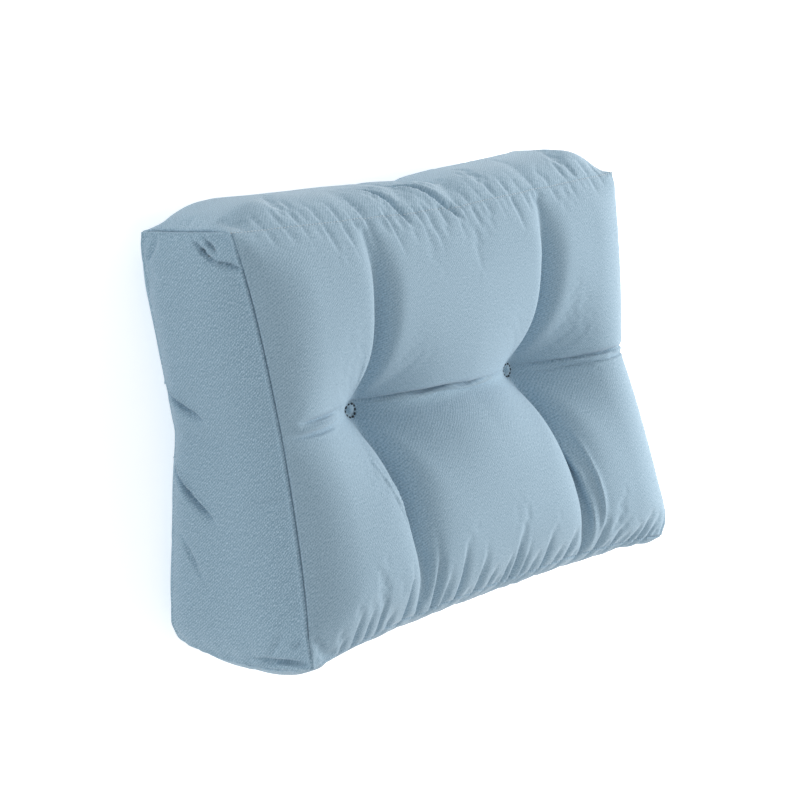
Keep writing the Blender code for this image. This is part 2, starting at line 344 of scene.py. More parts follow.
def corner_draw(a, b, c):
    """How far the corners of the end panels are drawn in towards the middle of the cushion."""
    at_back = (1.0 - a) * (1.0 - c) ** 2
    at_base = (LEFT_BASE_CORNER * at_back + RIGHT_BASE_CORNER * a) * pull(b * HEIGHT, CORNER_REACH)
    at_top = LEFT_TOP_CORNER * at_back + RIGHT_TOP_CORNER * a
    return at_base + at_top * pull((1.0 - b) * HEIGHT, CORNER_REACH)


def half_length(a, b, c):
    """Distance from the middle of the cushion to its end panels, drawn in unevenly at the row."""
    bow = END_SEAM_BOW * 4.0 * b * (1.0 - b)
    at_row = LEFT_SEAM_AT_ROW + (RIGHT_SEAM_AT_ROW - LEFT_SEAM_AT_ROW) * a
    at_row = at_row * pull((b - 0.5) * HEIGHT - TUFT_Y, END_ROW_REACH)
    from_back, from_face = c * thickness(b), (1.0 - c) * thickness(b)
    swell = rise(from_back, ENDS_BACK_REACH) * rise(from_face, ENDS.reach)
    swell = swell * across(b, HEIGHT, ENDS.seam_reach)
    return LENGTH / 2.0 - bow - at_row - corner_draw(a, b, c) + ENDS.height * swell


def top_edge(a, c):
    """Distance of the top panel from the middle of the cushion."""
    between_seams = 4.0 * c * (1.0 - c)
    swell = across(c, TOP_THICKNESS, TOP.reach) * across(a, LENGTH, TOP.seam_reach)
    swell = swell * (1.0 + TOP_LEAN * (2.0 * a - 1.0))
    edge = HEIGHT / 2.0 - TOP_SEAM_BOW * 4.0 * a * (1.0 - a)
    edge = edge + TOP_SHORT_SEAM_ARCH * between_seams + TOP.height * swell
    for crease in TOP_CREASES:
        along_crease = CREASE_AT_SEAM + (1.0 - CREASE_AT_SEAM) * between_seams
        offset = (a - 0.5) * LENGTH - crease.x
        edge = edge - crease.depth * pull(offset, crease.width) * along_crease
    return edge


def base_edge(a, c):
    """Distance of the base panel from the middle of the cushion, flat where it stands."""
    swell = across(c, BASE_THICKNESS, BASE.reach) * across(a, LENGTH, BASE.seam_reach)
    swell = swell * (1.0 + BASE_LEAN * (2.0 * a - 1.0))
    drop = BASE_DROP_LEFT + (BASE_DROP_RIGHT - BASE_DROP_LEFT) * a
    edge = HEIGHT / 2.0 + drop - BASE_SEAM_BOW * 4.0 * a * (1.0 - a)
    edge = edge + BASE_SHORT_SEAM_ARCH * 4.0 * c * (1.0 - c) + BASE.height * swell
    return -settle(-edge, -BASE_REST, REST_ROUNDING)


def valley_depth(x, y):
    """Depth of the valleys that run from the tufts to the seams and to each other."""
    to_top = np.maximum(y - TUFT_Y, 0.0) / (HEIGHT / 2.0 - TUFT_Y)
    to_base = np.maximum(TUFT_Y - y, 0.0) / (HEIGHT / 2.0 + TUFT_Y)
    column = COLUMN_DEPTH + (COLUMN_DEPTH_AT_SEAM - COLUMN_DEPTH) * (to_top + to_base)
    column = column * np.maximum(*(pull(x - tuft_x, COLUMN_WIDTH) for tuft_x in TUFTS_X))
    outwards = np.maximum(np.abs(x) - TUFTS_X[1], 0.0) / (LENGTH / 2.0 - TUFTS_X[1])
    row = ROW_DEPTH + (ROW_DEPTH_AT_SEAM - ROW_DEPTH) * outwards
    row = row * pull(y - TUFT_Y, np.where(y > TUFT_Y, ROW_WIDTH_ABOVE, ROW_WIDTH_BELOW))
    return (column**4 + row**4) ** 0.25


def tufted(height, tuft_height, x, y):
    """Height of a big panel, drawn towards the level of its two tufts beside them."""
    for tuft_x in TUFTS_X:
        distance = np.hypot((x - tuft_x) / TUFT_REACH_X, (y - TUFT_Y) / TUFT_REACH_Y)
        hold = np.exp(-np.maximum(distance - TUFT_FLAT, 0.0))
        height = height + (tuft_height - height) * hold
    return height


def seam_sink(a, b):
    """How far the seams round a big panel sink towards the middle of the thickness."""
    row = pull((b - 0.5) * HEIGHT - TUFT_Y, END_ROW_REACH) * (2.0 * a - 1.0) ** 4
    to_base = np.maximum(1.0 - 2.0 * b, 0.0) ** 2
    return END_SEAM_SINK_AT_ROW * row + FACE_SEAM_SINK_AT_BASE * 4.0 * a * (1.0 - a) * to_base


def big_panel_swell(a, b, crown):
    """Swell of the face or the back, with its uneven lobes."""
    swell = across(a, LENGTH, crown.reach) * across(b, HEIGHT, crown.seam_reach)
    return crown.height * swell * lobe_fullness((a - 0.5) * LENGTH, (b - 0.5) * HEIGHT)


def face_height(a, b):
    """Height of the tufted face over the plane of the back seams."""
    x, y = (a - 0.5) * LENGTH, (b - 0.5) * HEIGHT
    height = thickness(b) + BACK_LEAN * b - seam_sink(a, b) + big_panel_swell(a, b, FACE)
    return tufted(height - valley_depth(x, y), TUFT_FACE_Z, x, y)


def back_height(a, b):
    """Height of the back, flat where its lobes rest."""
    x, y = (a - 0.5) * LENGTH, (b - 0.5) * HEIGHT
    depth = BACK_SINK_SHARE * seam_sink(a, b) - big_panel_swell(a, b, BACK) + BACK_LEAN * b
    height = tufted(depth + BACK_SHARE * valley_depth(x, y), TUFT_BACK_Z, x, y)
    return settle(height, BACK_REST, REST_ROUNDING)


def form(a, b, c):
    """Places on the cushion's form of shares of its length, height and thickness."""
    reach, base, top = half_length(a, b, c), -base_edge(a, c), top_edge(a, c)
    back, face = back_height(a, b), face_height(a, b)
    x, y, z = (2.0 * a - 1.0) * reach, base + (top - base) * b, back + (face - back) * c
    points = np.stack([x, y, z], 1)
    middle = (points.min(0) + points.max(0)) / 2.0
    goal = (np.array(BOX_LOW) + np.array(BOX_HIGH)) / 2.0
    return points + (goal - middle) * (1.0, 1.0, 0.0) + (0.0, 0.0, -BACK_REST)


class Block:
    """A closed block of six panel grids that share the points of their seams."""

    def __init__(self, along, up, through):
        self.stations = (np.asarray(along), np.asarray(up), np.asarray(through))
        shape = tuple(len(stations) for stations in self.stations)
        outer = np.ones(shape, bool)
        outer[1:-1, 1:-1, 1:-1] = False
        number = np.full(shape, -1)
        number[outer] = np.arange(outer.sum())
        place = np.argwhere(outer)
        self.shares = np.stack([self.stations[axis][place[:, axis]] for axis in range(3)], 1)
        self.panels = {
            "face": number[:, :, -1],
            "back": number[:, :, 0],
            "top": number[:, -1, :],
            "base": number[:, 0, :],
            "left": number[0],
            "right": number[-1],
        }
        inside_out = {"back", "top", "left"}
        self.quads = []
        for name in PANELS:
            grid = self.panels[name]
            corners = [grid[:-1, :-1], grid[1:, :-1], grid[1:, 1:], grid[:-1, 1:]]
            quads = np.stack([corner.ravel() for corner in corners], 1)
            self.quads.append(quads[:, ::-1] if name in inside_out else quads)
        self.all_quads = np.concatenate(self.quads)

    def unfolded(self, name):
        """A panel's points laid flat beside the face, or the back's on their own: X and Y."""
        a, b, c = (self.shares[self.panels[name], axis] for axis in range(3))
        x, y, down = (a - 0.5) * LENGTH, (b - 0.5) * HEIGHT, (1.0 - c) * thickness(b)
        if name in ("face", "back"):
            return x, y
        if name in ("top", "base"):
            return x, y + (down if name == "top" else -down)
        return x + (down if name == "right" else -down), y


def even_stations(length, cell):
    """Shares of a length that cut it into even cells."""
    return np.linspace(0.0, 1.0, round(length / cell) + 1)


def crowded_stations(length, cell, crowd=None):
    """Shares of a length that cut it into cells, smaller near its seams and near one place."""
    fine = np.linspace(NEAR_SEAM[-1], length - NEAR_SEAM[-1], 4001)
    density = np.full(len(fine), 1.0 / cell)
    if crowd is not None:
        near = np.exp(-(((fine - crowd.place) / crowd.spread) ** 2))
        density += near * (crowd.share - 1.0) / cell
    count = np.concatenate([[0.0], np.cumsum((density[1:] + density[:-1]) / 2.0 * np.diff(fine))])
    inner = np.interp(np.linspace(0.0, count[-1], round(count[-1]) + 1), count, fine)
    close = np.array(NEAR_SEAM[:-1])
    return np.concatenate([close, inner, length - close[::-1]]) / length


def spline(values, old, new):
    """Values at new stations, on a smooth curve through those at the old ones."""
    values = np.concatenate([2 * values[:1] - values[1:2], values, 2 * values[-1:] - values[-2:-1]])
    i = np.clip(np.searchsorted(old, new, side="right") - 1, 0, len(old) - 2)
    t = ((new - old[i]) / (old[i + 1] - old[i])).reshape((-1,) + (1,) * (values.ndim - 1))
    before, start, end, after = (values[i + step] for step in range(4))
    slopes = (end - before) / 2.0, (after - start) / 2.0
    bend = 3.0 * (end - start) - 2.0 * slopes[0] - slopes[1]
    twist = 2.0 * (start - end) + slopes[0] + slopes[1]
    return start + t * (slopes[0] + t * (bend + t * twist))


# The two directions, of length, height and thickness, along which each panel lies
PANEL_AXES = {
    "face": (0, 1),
    "back": (0, 1),
    "top": (0, 2),
    "base": (0, 2),
    "left": (1, 2),
    "right": (1, 2),
}


def refined(coarse, points, fine):
    """The coarse block's points carried over to the finer block's stations."""
    made = np.zeros((len(fine.shares), 3))
    for name in PANELS:
        first, second = PANEL_AXES[name]
        grid = spline(points[coarse.panels[name]], coarse.stations[first], fine.stations[first])
        grid = spline(grid.swapaxes(0, 1), coarse.stations[second], fine.stations[second])
        made[fine.panels[name]] = grid.swapaxes(0, 1)
    return made


def point_normals(points, quads):
    """Outward direction at each point of a closed mesh of quads."""
    corner = points[quads]
    facing = np.cross(corner[:, 2] - corner[:, 0], corner[:, 3] - corner[:, 1])
    normals = np.zeros_like(points)
    for column in range(4):
        np.add.at(normals, quads[:, column], facing)
    return normals / np.linalg.norm(normals, axis=1, keepdims=True)


def softened(values, quads, rounds):
    """Values averaged with their neighbours' again and again, which leaves only broad changes."""
    following = np.roll(quads, -1, axis=1)
    start = np.concatenate([quads.ravel(), following.ravel()])
    end = np.concatenate([following.ravel(), quads.ravel()])
    count = np.bincount(start, minlength=len(values))
    for _ in range(rounds):
        for axis in range(3):
            near = np.bincount(start, values[end, axis], len(values)) / count
            values[:, axis] = 0.5 * values[:, axis] + 0.5 * near
    return values


def tuft_distance(x, y):
    """Distance on a flat panel from the nearer of the two tufts."""
    return np.minimum(*(np.hypot(x - tuft_x, y - TUFT_Y) for tuft_x in TUFTS_X))


def wrinkle_share(block):
    """Share of the simulated wrinkles that stays: most by the seams, little by the tufts."""
    a, b, c = block.shares.T
    along, up = (a - 0.5) * LENGTH, (b - 0.5) * HEIGHT
    from_long_seam = np.minimum(b, 1.0 - b) * HEIGHT
    by_seam = WRINKLES + WRINKLES_BY_SEAM * np.exp(-from_long_seam / WRINKLES_REACH)
    on_skin = (c % 1.0 == 0.0) * np.exp(-((tuft_distance(along, up) / SMOOTH_AT_TUFT) ** 2))
    return by_seam * (1.0 - on_skin)


def soft_trough(distance, width):
    """Section of a crease while the cloth is filled: a trough with a low ridge on each side."""
    share = (distance / width) ** 2
    return (1.0 - share) * np.exp(-share)


def sharp_trough(distance, width):
    """Section of a finished crease: a pinched trough with a ridge where the distance is below 0."""
    ridge = np.exp(-(((distance / width + RIDGE_OFFSET) / RIDGE_WIDTH) ** 2))
    return np.exp(-WALL_STEEPNESS * np.abs(distance) / width) - RIDGE_SHARE * ridge


def fade(distance, reach):
    """Strength of a crease along its length: full at its root, gone at its reach."""
    share = np.clip(distance / reach, 0.0, 1.0)
    return (1.0 - share**2) ** 2


def crease_depths(block, section):
    """How deep the listed creases are at each point of a block, for a section's function."""
    depths = np.zeros(len(block.shares))
    for name in PANELS:
        if name == "back":
            continue
        x, y = block.unfolded(name)
        depth = np.zeros_like(x)
        for side, own, puckers in ((1.0, "top", TOP_PUCKERS), (-1.0, "base", BASE_PUCKERS)):
            if name not in ("face", own):
                continue
            past_seam = side * y - HEIGHT / 2.0
            for pucker in puckers:
                drift = pucker.drift * np.maximum(past_seam, 0.0) / pucker.side
                reach = np.where(past_seam > 0.0, pucker.side, pucker.face)
                trough = section(x - pucker.x - drift, pucker.width)
                depth += pucker.depth * trough * fade(np.abs(past_seam), reach)
        for crease in CREASES:
            run = np.array([crease.x1 - crease.x0, crease.y1 - crease.y0])
            reach = np.hypot(*run)
            along = ((x - crease.x0) * run[0] + (y - crease.y0) * run[1]) / reach
            aside = ((y - crease.y0) * run[0] - (x - crease.x0) * run[1]) / reach
            ends = fade(np.abs(along - reach / 2.0), reach * CREASE_REACH)
            bend = crease.bow * (1.0 - (2.0 * along / reach - 1.0) ** 2)
            depth += crease.depth * section(aside - bend, crease.width) * ends
        numbers = block.panels[name]
        deeper = np.abs(depth) > np.abs(depths[numbers])
        depths[numbers] = np.where(deeper, depth, depths[numbers])
    return depths


def new_object(name, data):
    """A scene object that holds a mesh, a lamp or a camera."""
    made = bpy.data.objects.new(name, data)
    bpy.context.scene.collection.objects.link(made)
    return made


def weighted(cloth, name, weights):
    """A vertex group of the cloth with a weight for each point."""
    group = cloth.vertex_groups.new(name=name)
    steps = np.round(weights, 3)
    for weight in np.unique(steps):
        group.add(np.flatnonzero(steps == weight).tolist(), float(weight), "REPLACE")
    return group.name


def sewn_and_filled(block, points, settings):
    """The cover's points after its seams are gathered and the filling presses outwards."""
    a, b, c = block.shares.T
    ends, rims, skins = (a % 1.0 == 0.0), (b % 1.0 == 0.0), (c % 1.0 == 0.0)
    long_seams = rims & skins
    seams = long_seams | (ends & (rims | skins))
    from_tuft = tuft_distance((a - 0.5) * LENGTH, (b - 0.5) * HEIGHT)
    held = np.where(skins & (from_tuft < settings.tuft_hold), 1.0, 0.0)
    held[seams] = settings.seam_hold
    gather = np.where(seams, SLIGHT_GATHER, 0.0)
    gather[long_seams & (b == 0.0)] = 1.0
    press = np.where(ends & ~rims & ~skins, settings.end_filling, 1.0)
    mesh = bpy.data.meshes.new("cover in the making")
    mesh.from_pydata(points.tolist(), [], block.all_quads.tolist())
    cloth = new_object("cover in the making", mesh)
    modifier = cloth.modifiers.new("filling", "CLOTH")
    sim = modifier.settings
    sim.quality = 6
    sim.mass = 0.05
    sim.tension_stiffness = 80.0
    sim.compression_stiffness = 5.0
    sim.shear_stiffness = 3.0
    sim.bending_stiffness = 0.05
    sim.tension_damping = sim.compression_damping = sim.shear_damping = 8.0
    sim.bending_damping = 0.5
    sim.air_damping = 2.0
    sim.use_pressure = True
    sim.uniform_pressure_force = settings.filling_pressure
    sim.vertex_group_mass = weighted(cloth, "held", held)
    sim.vertex_group_pressure = weighted(cloth, "pressed", press)
    sim.vertex_group_shrink = weighted(cloth, "gathered", gather)
    sim.shrink_min = 0.0
    sim.shrink_max = settings.gathering
    sim.effector_weights.gravity = 0.0
    modifier.point_cache.frame_start = 1
    modifier.point_cache.frame_end = settings.steps
    for step in range(1, settings.steps + 1):
        bpy.context.scene.frame_set(step)
    ready = cloth.evaluated_get(bpy.context.evaluated_depsgraph_get())
    moved = np.empty(len(points) * 3, np.float32)
    ready.data.vertices.foreach_get("co", moved)
    bpy.data.objects.remove(cloth)
    bpy.data.meshes.remove(mesh)
    bpy.context.scene.frame_set(1)
    return moved.reshape(-1, 3).astype(float)


def capped(moves, limit):
    """Moves cut to at most a limit in length."""
    length = np.linalg.norm(moves, axis=1, keepdims=True)
    return moves * np.minimum(1.0, limit / np.maximum(length, 1e-9))


def seam_distances(block, name):
    """Distance of a panel's points from its nearest seam."""
    a, b, c = (block.shares[block.panels[name], axis] for axis in range(3))
    spans = ((a, LENGTH), (b, HEIGHT), (c, thickness(b)))
    near = []
    for axis in PANEL_AXES[name]:
        share, span = spans[axis]
        near.append(np.minimum(share, 1.0 - share) * span)
    return np.minimum(*near)


def sewn_lines(block, settings):
    """How deep the seams' narrow grooves are at each point, less the raised edges beside them."""
    depth = np.zeros(len(block.shares))
    for name in PANELS:
        away = seam_distances(block, name) / settings.seam_groove_width
        at_end = name in END_PANELS
        groove = np.exp(-((away / (GROOVE_AT_END if at_end else 1.0)) ** 2))
        edge = np.exp(-(((away - EDGE_OFFSET) / EDGE_WIDTH) ** 2))
        b, c = (block.shares[block.panels[name], axis] for axis in (1, 2))
        from_top_seam = np.hypot((1.0 - b) * HEIGHT, (1.0 - c) * TOP_THICKNESS)
        sunk = 1.0 - TOP_SEAM_FLUSH * np.exp(-from_top_seam / TOP_SEAM_REACH)
        line = groove - (EDGE_HEIGHT_AT_END if at_end else EDGE_HEIGHT) * edge
        depth[block.panels[name]] = settings.seam_groove_depth * sunk * line
    return depth


def tuft_lines(block, settings):
    """How deep the ring pressed in by a tuft's stitches is, less the pad inside it."""
    depth = np.zeros(len(block.shares))
    for name in ("face", "back"):
        away = tuft_distance(*block.unfolded(name))
        ring = np.exp(-(((away - settings.tuft_ring) / RING_WIDTH) ** 2))
        pad = np.exp(-((away / (PAD_SHARE * settings.tuft_ring)) ** 2))
        depth[block.panels[name]] = RING_DEPTH * ring - PAD_HEIGHT * pad
    return depth


def linear(hex_colour):
    """An sRGB hex colour as the linear RGBA that shaders take."""
    srgb = np.array([int(hex_colour[i : i + 2], 16) for i in (1, 3, 5)]) / 255.0
    rgb = np.where(srgb <= 0.04045, srgb / 12.92, ((srgb + 0.055) / 1.055) ** 2.4)
    return (*rgb.tolist(), 1.0)


def add_node(tree, kind, settings=None, links=None):
    """A node of a tree, with its attributes and input values set and its inputs linked."""
    node = tree.nodes.new(kind)
    for name, value in (settings or {}).items():
        if isinstance(name, str) and hasattr(node, name):
            setattr(node, name, value)
        else:
            node.inputs[name].default_value = value
    for name, source in (links or {}).items():
        tree.links.new(source, node.inputs[name])
    return node


def twill_material(settings):
    """Cotton twill, woven in slanting ribs, piece-dyed a pale dusty blue and matt."""
    material = bpy.data.materials.new("cotton twill")
    material.use_nodes = True
    tree = material.node_tree
    shader = tree.nodes["Principled BSDF"]
    # Spun yarns woven over two and under one give fine slanting ribs with a fuzzy, flecked
    # surface, so the cloth has a dull grain and no shine. Real ribs are about 0.7 mm apart and
    # yarns about 0.4 mm thick, too fine to show, so both are drawn about three times as coarse.
    uv = add_node(tree, "ShaderNodeUVMap", {"uv_map": "weave"}).outputs["UV"]
    in_mm = {"Scale": (1000.0, 1000.0, 1.0)}
    place = add_node(tree, "ShaderNodeMapping", in_mm, {"Vector": uv}).outputs["Vector"]
    slant = {"Rotation": (0.0, 0.0, 0.96), "Scale": (1.0 / settings.twill_pitch,) * 3}
    turned = add_node(tree, "ShaderNodeMapping", slant, {"Vector": place}).outputs["Vector"]
    # At this scale a band of the wave is one unit wide, which is one pitch
    bands = {"Scale": 0.31, "Distortion": 4.0, "Detail": 2.0, "Detail Scale": 2.0}
    ribs = add_node(
        tree, "ShaderNodeTexWave", {"bands_direction": "X", **bands}, {"Vector": turned}
    ).outputs["Fac"]
    # Yarns: flecks about 1 mm wide and 2 mm long, and a rough grain about 1.2 mm wide
    yarn = {"Scale": (0.95, 0.45, 1.0)}
    threads = add_node(tree, "ShaderNodeMapping", yarn, {"Vector": place}).outputs["Vector"]
    fleck = {"Scale": 1.0, "Detail": 3.0, "Roughness": 0.62}
    slubs = add_node(tree, "ShaderNodeTexNoise", fleck, {"Vector": threads}).outputs["Fac"]
    rough = {"Scale": 0.85, "Detail": 2.0, "Roughness": 0.7}
    grain = add_node(tree, "ShaderNodeTexNoise", rough, {"Vector": place}).outputs["Fac"]
    # The ribs count for less than the yarns, in height and still less in tone
    rib_height = {"operation": "MULTIPLY_ADD", 1: 0.28}
    rib_tone = {"operation": "MULTIPLY_ADD", 1: 0.14}
    height = add_node(tree, "ShaderNodeMath", rib_height, {0: ribs, 2: grain}).outputs["Value"]
    mottle = add_node(tree, "ShaderNodeMath", rib_tone, {0: ribs, 2: slubs}).outputs["Value"]
    # On the end panels the grain is drawn with more contrast, which is the cloth's own grain, and
    # the colour is made a shade darker, which is painted shade. The end panels are drawn as cut
    # across the grain, with stronger threads and a shade darker, to match the photograph's left
    # end, where the light alone may do the same
    cut = add_node(tree, "ShaderNodeAttribute", {"attribute_name": "cut_across"}).outputs["Fac"]
    end_grain_and_shade = {"operation": "MULTIPLY_ADD", 1: 0.6, 2: -0.43}
    contrast = add_node(tree, "ShaderNodeMath", end_grain_and_shade, {0: mottle}).outputs["Value"]
    added = {0: cut, 1: contrast, 2: mottle}
    shaded = add_node(tree, "ShaderNodeMath", {"operation": "MULTIPLY_ADD"}, added).outputs["Value"]
    spread = {"From Min": 0.36, "From Max": 0.78, "To Min": 0.0, "To Max": 1.0}
    tone = add_node(tree, "ShaderNodeMapRange", spread, {"Value": shaded}).outputs["Result"]
    dyes = {6: linear(settings.cloth_dark), 7: linear(settings.cloth_light)}
    colour = add_node(tree, "ShaderNodeMix", {"data_type": "RGBA", **dyes}, {0: tone})
    relief = {"Strength": 0.75, "Distance": 0.0005}
    bump = add_node(tree, "ShaderNodeBump", relief, {"Height": height})
    tree.links.new(colour.outputs[2], shader.inputs["Base Color"])
    tree.links.new(bump.outputs["Normal"], shader.inputs["Normal"])
    shader.inputs["Roughness"].default_value = 0.92
    shader.inputs["Specular IOR Level"].default_value = 0.25
    shader.inputs["Sheen Weight"].default_value = 0.24
    shader.inputs["Sheen Roughness"].default_value = 0.45
    return material


def thread_material(name, hex_colour):
    """Sewing thread, spun from polyester and twisted tight, with a soft sheen."""
    material = bpy.data.materials.new(name)
    material.use_nodes = True
    tree = material.node_tree
    shader = tree.nodes["Principled BSDF"]
    # Twisted strands show as fine dark flecks along the thread. They are about 0.2 mm apart in a
    # real one, too fine to show, and are drawn at 0.7 mm.
    place = add_node(tree, "ShaderNodeTexCoord").outputs["Object"]
    fine = {"Scale": 1400.0, "Detail": 2.0}
    strands = add_node(tree, "ShaderNodeTexNoise", fine, {"Vector": place}).outputs["Fac"]
    light = linear(hex_colour)
    dyes = {6: (*(0.7 * value for value in light[:3]), 1.0), 7: light}
    colour = add_node(tree, "ShaderNodeMix", {"data_type": "RGBA", **dyes}, {0: strands})
    relief = {"Strength": 0.4, "Distance": 0.0001}
    bump = add_node(tree, "ShaderNodeBump", relief, {"Height": strands})
    tree.links.new(colour.outputs[2], shader.inputs["Base Color"])
    tree.links.new(bump.outputs["Normal"], shader.inputs["Normal"])
    shader.inputs["Roughness"].default_value = 0.6
    return material


def cover_mesh(block, points):
    """The cover as a mesh of its six panels, with each panel's own weave map."""
    mesh = bpy.data.meshes.new("cushion_cover")
    mesh.from_pydata(points.tolist(), [], block.all_quads.tolist())
    flat, painted_shade_at_ends = [], []
    for name, quads in zip(PANELS, block.quads):
        x, y = np.zeros(len(points)), np.zeros(len(points))
        x[block.panels[name]], y[block.panels[name]] = block.unfolded(name)
        flat.append(np.stack([x[quads], y[quads]], 2).reshape(-1, 2))
        painted_shade_at_ends.append(np.full(len(quads), float(name in END_PANELS)))
    weave = mesh.uv_layers.new(name="weave")
    weave.data.foreach_set("uv", np.concatenate(flat).astype(np.float32).ravel())
    # Mask of the two end panels, which the twill makes a shade darker as painted shade
    cut = mesh.attributes.new("cut_across", "FLOAT", "FACE")
    cut.data.foreach_set("value", np.concatenate(painted_shade_at_ends).astype(np.float32))
    mesh.shade_smooth()
    mesh.update()
    return mesh


def stitch_tree():
    """Node tree that lays one stitch after another along the paths that it is given."""
    tree = bpy.data.node_groups.new("stitches along a path", "GeometryNodeTree")
    sockets = (
        ("Path", "NodeSocketGeometry", None),
        ("Pitch", "NodeSocketFloat", 0.004),
        ("Length", "NodeSocketFloat", 0.003),
        ("Thickness", "NodeSocketFloat", 0.0006),
        ("Unevenness", "NodeSocketFloat", 0.1),
        ("Seed", "NodeSocketInt", 1),
        ("Thread", "NodeSocketMaterial", None),
    )
    for name, kind, value in sockets:
        socket = tree.interface.new_socket(name, in_out="INPUT", socket_type=kind)
        if value is not None:
            socket.default_value = value
    tree.interface.new_socket("Stitches", in_out="OUTPUT", socket_type="NodeSocketGeometry")
    given = add_node(tree, "NodeGroupInput").outputs
    curve = add_node(tree, "GeometryNodeMeshToCurve", None, {"Mesh": given["Path"]})
    along = {"Curve": curve.outputs["Curve"], "Length": given["Pitch"]}
    spaced = add_node(tree, "GeometryNodeResampleCurve", {"mode": "LENGTH"}, along)
    few_faces = {"Segments": 6, "Rings": 5, "Radius": 0.5}
    ball = add_node(tree, "GeometryNodeMeshUVSphere", few_faces)
    run = add_node(tree, "GeometryNodeInputTangent").outputs["Tangent"]
    turn = add_node(tree, "FunctionNodeAlignRotationToVector", {"axis": "X"}, {"Vector": run})
    uneven = {1: given["Unevenness"]}
    least = add_node(tree, "ShaderNodeMath", {"operation": "SUBTRACT", 0: 1.0}, uneven)
    most = add_node(tree, "ShaderNodeMath", {"operation": "ADD", 0: 1.0}, uneven)
    limits = {2: least.outputs["Value"], 3: most.outputs["Value"], "Seed": given["Seed"]}
    vary = add_node(tree, "FunctionNodeRandomValue", {"data_type": "FLOAT"}, limits)
    sides = {"X": given["Length"], "Y": given["Thickness"], "Z": given["Thickness"]}
    size = add_node(tree, "ShaderNodeCombineXYZ", None, sides)
    scaled = {"Vector": size.outputs["Vector"], "Scale": vary.outputs[1]}
    scale = add_node(tree, "ShaderNodeVectorMath", {"operation": "SCALE"}, scaled)
    laid = {
        "Points": spaced.outputs["Curve"],
        "Instance": ball.outputs["Mesh"],
        "Rotation": turn.outputs["Rotation"],
        "Scale": scale.outputs["Vector"],
    }
    made = add_node(tree, "GeometryNodeInstanceOnPoints", None, laid).outputs["Instances"]
    for kind in ("GeometryNodeRealizeInstances", "GeometryNodeSetShadeSmooth"):
        made = add_node(tree, kind, None, {"Geometry": made}).outputs["Geometry"]
    coloured = {"Geometry": made, "Material": given["Thread"]}
    made = add_node(tree, "GeometryNodeSetMaterial", None, coloured).outputs["Geometry"]
    add_node(tree, "NodeGroupOutput", None, {"Stitches": made})
    return tree


def stitched(name, paths, tree, values):
    """A piece of stitches laid along closed or open paths by the node tree."""
    corners, edges = [], []
    for path, closed in paths:
        first = len(corners)
        corners.extend(path)
        edges.extend((first + i, first + i + 1) for i in range(len(path) - 1))
        if closed:
            edges.append((first + len(path) - 1, first))
    guide = bpy.data.meshes.new(name + " paths")
    guide.from_pydata(corners, edges, [])
    guides = new_object(name + " paths", guide)
    modifier = guides.modifiers.new("stitches", "NODES")
    modifier.node_group = tree
    for item in tree.interface.items_tree:
        if item.name in values:
            modifier[item.identifier] = values[item.name]
    ready = guides.evaluated_get(bpy.context.evaluated_depsgraph_get())
    mesh = bpy.data.meshes.new_from_object(ready)
    mesh.name = name
    bpy.data.objects.remove(guides)
    bpy.data.meshes.remove(guide)
    if not mesh.polygons:
        raise RuntimeError(f"{name}: the tree laid no stitches")
    return new_object(name, mesh)


# The finished cover's block and points, which the stitches follow
MADE = {}


def a_length(name, description, default):
    """A property that holds a length in metres."""
    return bpy.props.FloatProperty(
        name=name, description=description, default=default, unit="LENGTH"
    )


def a_number(name, description, default):
    """A property that holds a plain number."""
    return bpy.props.FloatProperty(name=name, description=description, default=default)


def a_share(name, description, default):
    """A property that holds a share."""
    return bpy.props.FloatProperty(
        name=name, description=description, default=default, subtype="FACTOR"
    )


def a_colour(name, description, default):
    """A property that holds an sRGB hex colour."""
    return bpy.props.StringProperty(name=name, description=description, default=default)


class CoverSizes(bpy.types.PropertyGroup):
    """Sizes of the sewn cover and of its filling."""

    cell: a_length("Cloth cell", "Grid size of the simulated cloth", 0.0062)
    fine_cell: a_length("Fine cell", "Grid size of the finished cover", 0.0019)
    crease_start: a_number("Crease start", "Share of the creases laid in before the filling", 0.6)
    filling_pressure: a_number("Filling pressure", "Pressure of the filling on the cloth", 6.0)
    end_filling: a_share("End filling", "Share of the pressure on the flat end panels", 0.3)
    gathering: a_share("Gathering", "How much shorter than the cloth the long seams are", 0.04)
    seam_hold: a_share("Seam hold", "How firmly the seams keep their place", 0.15)
    tuft_hold: a_length("Tuft hold", "Radius of the cloth that each tuft holds", 0.013)
    steps: bpy.props.IntProperty(name="Steps", description="Steps of the simulation", default=40)
    move_cap: a_length("Largest move", "How far the filling may move a point", 0.028)
    seam_groove_depth: a_length("Seam depth", "Depth of the groove along a seam", 0.0036)
    seam_groove_width: a_length("Seam width", "Half width of the groove along a seam", 0.0009)
    tuft_ring: a_length("Tuft ring", "Radius of the ring of stitches of a tuft", 0.0070)


class ClothLooks(bpy.types.PropertyGroup):
    """Colours of the cloth and the threads, and the scale of the weave."""

    cloth_light: a_colour("Light yarn", "sRGB hex colour of the raised yarns", "#AAC4D5")
    cloth_dark: a_colour("Dark yarn", "sRGB hex colour between the yarns", "#7B98AB")
    seam_thread: a_colour("Seam thread", "sRGB hex colour of the seam thread", "#C9DAE4")
    groove_shade_thread: a_colour("Sunk thread", "sRGB hex colour of the sunk seams' thread", "#22384A")
    # Thread of the sunk seams, near-black: the stitches are real, but their dark colour is painted
    # shade of the seams' grooves
    tuft_thread: a_colour("Tuft thread", "sRGB hex colour of the tufts' thread", "#1E2A36")
    twill_pitch: a_number("Twill pitch", "Distance between the twill's ribs, in millimetres", 2.1)


